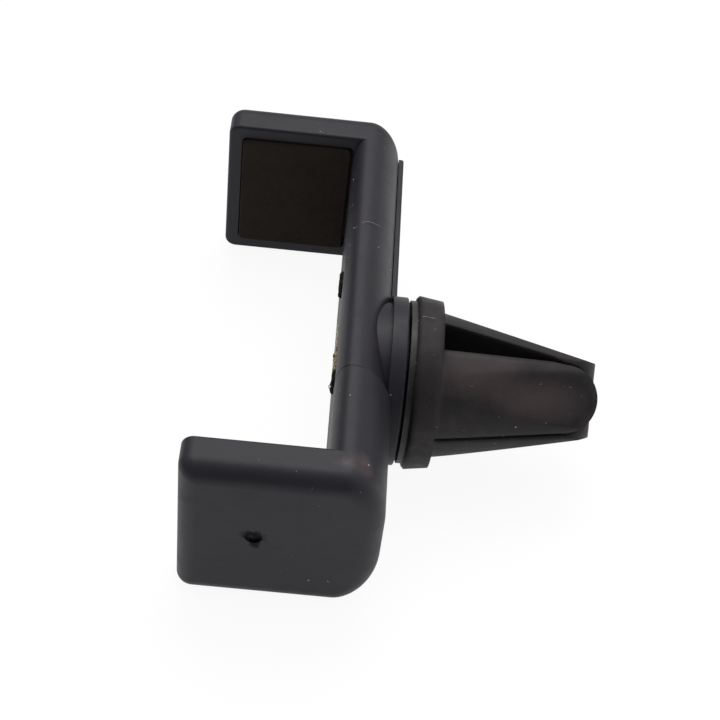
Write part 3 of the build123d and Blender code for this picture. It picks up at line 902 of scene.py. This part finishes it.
def dust_group(nodes):
    """Dust on the outsides of some CAD nodes, where no other piece lies over them."""
    ray_start, ray_length = 0.05 * MM, 60 * MM
    tree, given, result = new_group(
        "surface_dust",
        {
            "Density": "NodeSocketFloat",
            "Grain": "NodeSocketFloat",
            "Seed": "NodeSocketInt",
            "Material": "NodeSocketMaterial",
        },
    )
    dusty = add_node(tree, "GeometryNodeJoinGeometry")
    whole = add_node(tree, "GeometryNodeJoinGeometry")
    for name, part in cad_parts.items():
        source = add_node(
            tree, "GeometryNodeObjectInfo", {"transform_space": "RELATIVE"}, {"Object": part}
        )
        tree.links.new(source.outputs["Geometry"], whole.inputs[0])
        if name in nodes:
            tree.links.new(source.outputs["Geometry"], dusty.inputs[0])
    spread = add_node(
        tree,
        "GeometryNodeDistributePointsOnFaces",
        inputs={"Mesh": dusty, "Density": given["Density"], "Seed": given["Seed"]},
    )
    outwards = add_node(
        tree,
        "ShaderNodeVectorMath",
        {"operation": "SCALE"},
        {0: spread.outputs["Normal"], "Scale": ray_start},
    )
    place = add_node(tree, "GeometryNodeInputPosition")
    start = add_node(tree, "ShaderNodeVectorMath", {"operation": "ADD"}, {0: place, 1: outwards})
    ray = add_node(
        tree,
        "GeometryNodeRaycast",
        inputs={
            "Target Geometry": whole,
            "Source Position": start,
            "Ray Direction": spread.outputs["Normal"],
            "Ray Length": ray_length,
        },
    )
    open_points = add_node(
        tree,
        "GeometryNodeDeleteGeometry",
        {"domain": "POINT"},
        {"Geometry": spread.outputs["Points"], "Selection": ray.outputs["Is Hit"]},
    )
    dust = strewn(tree, open_points.outputs[0], spread.outputs["Rotation"], given)
    tree.links.new(dust.outputs[0], result[0])
    return tree


def edge_dust_group():
    """Dust caught along an edge: points on a path, moved a little at random."""
    tree, given, result = new_group(
        "edge_dust",
        {
            "Path": "NodeSocketObject",
            "Count": "NodeSocketInt",
            "Spread": "NodeSocketFloat",
            "Grain": "NodeSocketFloat",
            "Seed": "NodeSocketInt",
            "Material": "NodeSocketMaterial",
        },
    )
    path = add_node(tree, "GeometryNodeObjectInfo", inputs={"Object": given["Path"]})
    points = add_node(
        tree,
        "GeometryNodeCurveToPoints",
        {"mode": "COUNT"},
        {"Curve": path.outputs["Geometry"], "Count": given["Count"]},
    )
    jitter = add_node(
        tree,
        "FunctionNodeRandomValue",
        {"data_type": "FLOAT_VECTOR"},
        {"Min": (-1, -1, -1), "Max": (1, 1, 1), "Seed": given["Seed"]},
    )
    drift = add_node(
        tree, "ShaderNodeVectorMath", {"operation": "SCALE"}, {0: jitter, "Scale": given["Spread"]}
    )
    moved = add_node(
        tree,
        "GeometryNodeSetPosition",
        inputs={"Geometry": points.outputs["Points"], "Offset": drift},
    )
    dust = strewn(tree, moved.outputs[0], points.outputs["Rotation"], given)
    tree.links.new(dust.outputs[0], result[0])
    return tree


def add_dust():
    """Pale dust on the outsides, in grains per square metre, and more along edges that catch it."""
    grain = 0.055 * MM
    outsides = {
        "clamp_bar": (["housing", "back_cover"], 21, 30000.0),
        "jaw": (["sliding_jaw"], 22, 22000.0),
        "vent_clip": (["clip_rubber"], 23, 60000.0),
    }
    for body, (nodes, seed, density) in outsides.items():
        mesh = grown_mesh(
            f"dust_on_{body}",
            dust_group(nodes),
            {"Density": density, "Grain": grain, "Seed": seed, "Material": finishes["lint"]},
        )
        keep_piece(mesh.name, mesh, body, "lint")
    tree = edge_dust_group()
    front_edge = [
        (0.62, 36.5, 12.0),
        (0.5, 30.0, 11.75),
        (0.45, 22.0, 11.7),
        (0.45, 12.0, 11.7),
        (0.5, 2.0, 11.75),
    ]
    collar_x, collar_radius = 11.42, 12.62
    collar_edge = []
    for degrees in range(-42, 26, 4):
        angle = math.radians(degrees)
        collar_edge.append(
            (collar_x, collar_radius * math.sin(angle), collar_radius * math.cos(angle))
        )
    low, high = [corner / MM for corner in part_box("fixed_jaw_pad")]
    gap_x, gap_y = high.x + 0.2, low.y + 0.5
    pad_edge = [(gap_x, gap_y, low.z + 1), (gap_x, gap_y, high.z - 1)]
    edges = {
        "front_edge_dust": ("clamp_bar", front_edge, 60, 0.26, 31),
        "collar_edge_dust": ("vent_clip", collar_edge, 60, 0.14, 32),
        "pad_edge_dust": ("clamp_bar", pad_edge, 46, 0.3, 33),
    }
    for name, (body, points, count, spread, seed) in edges.items():
        path = curve_through(name + "_path", "POLY", points)
        mesh = grown_mesh(
            name,
            tree,
            {
                "Path": path,
                "Count": count,
                "Spread": spread * MM,
                "Grain": grain,
                "Seed": seed,
                "Material": finishes["lint"],
            },
        )
        bpy.data.objects.remove(path)
        keep_piece(name, mesh, body, "lint")


add_springs()
add_scraps()
add_fibres()
add_crumbs()
add_dust()
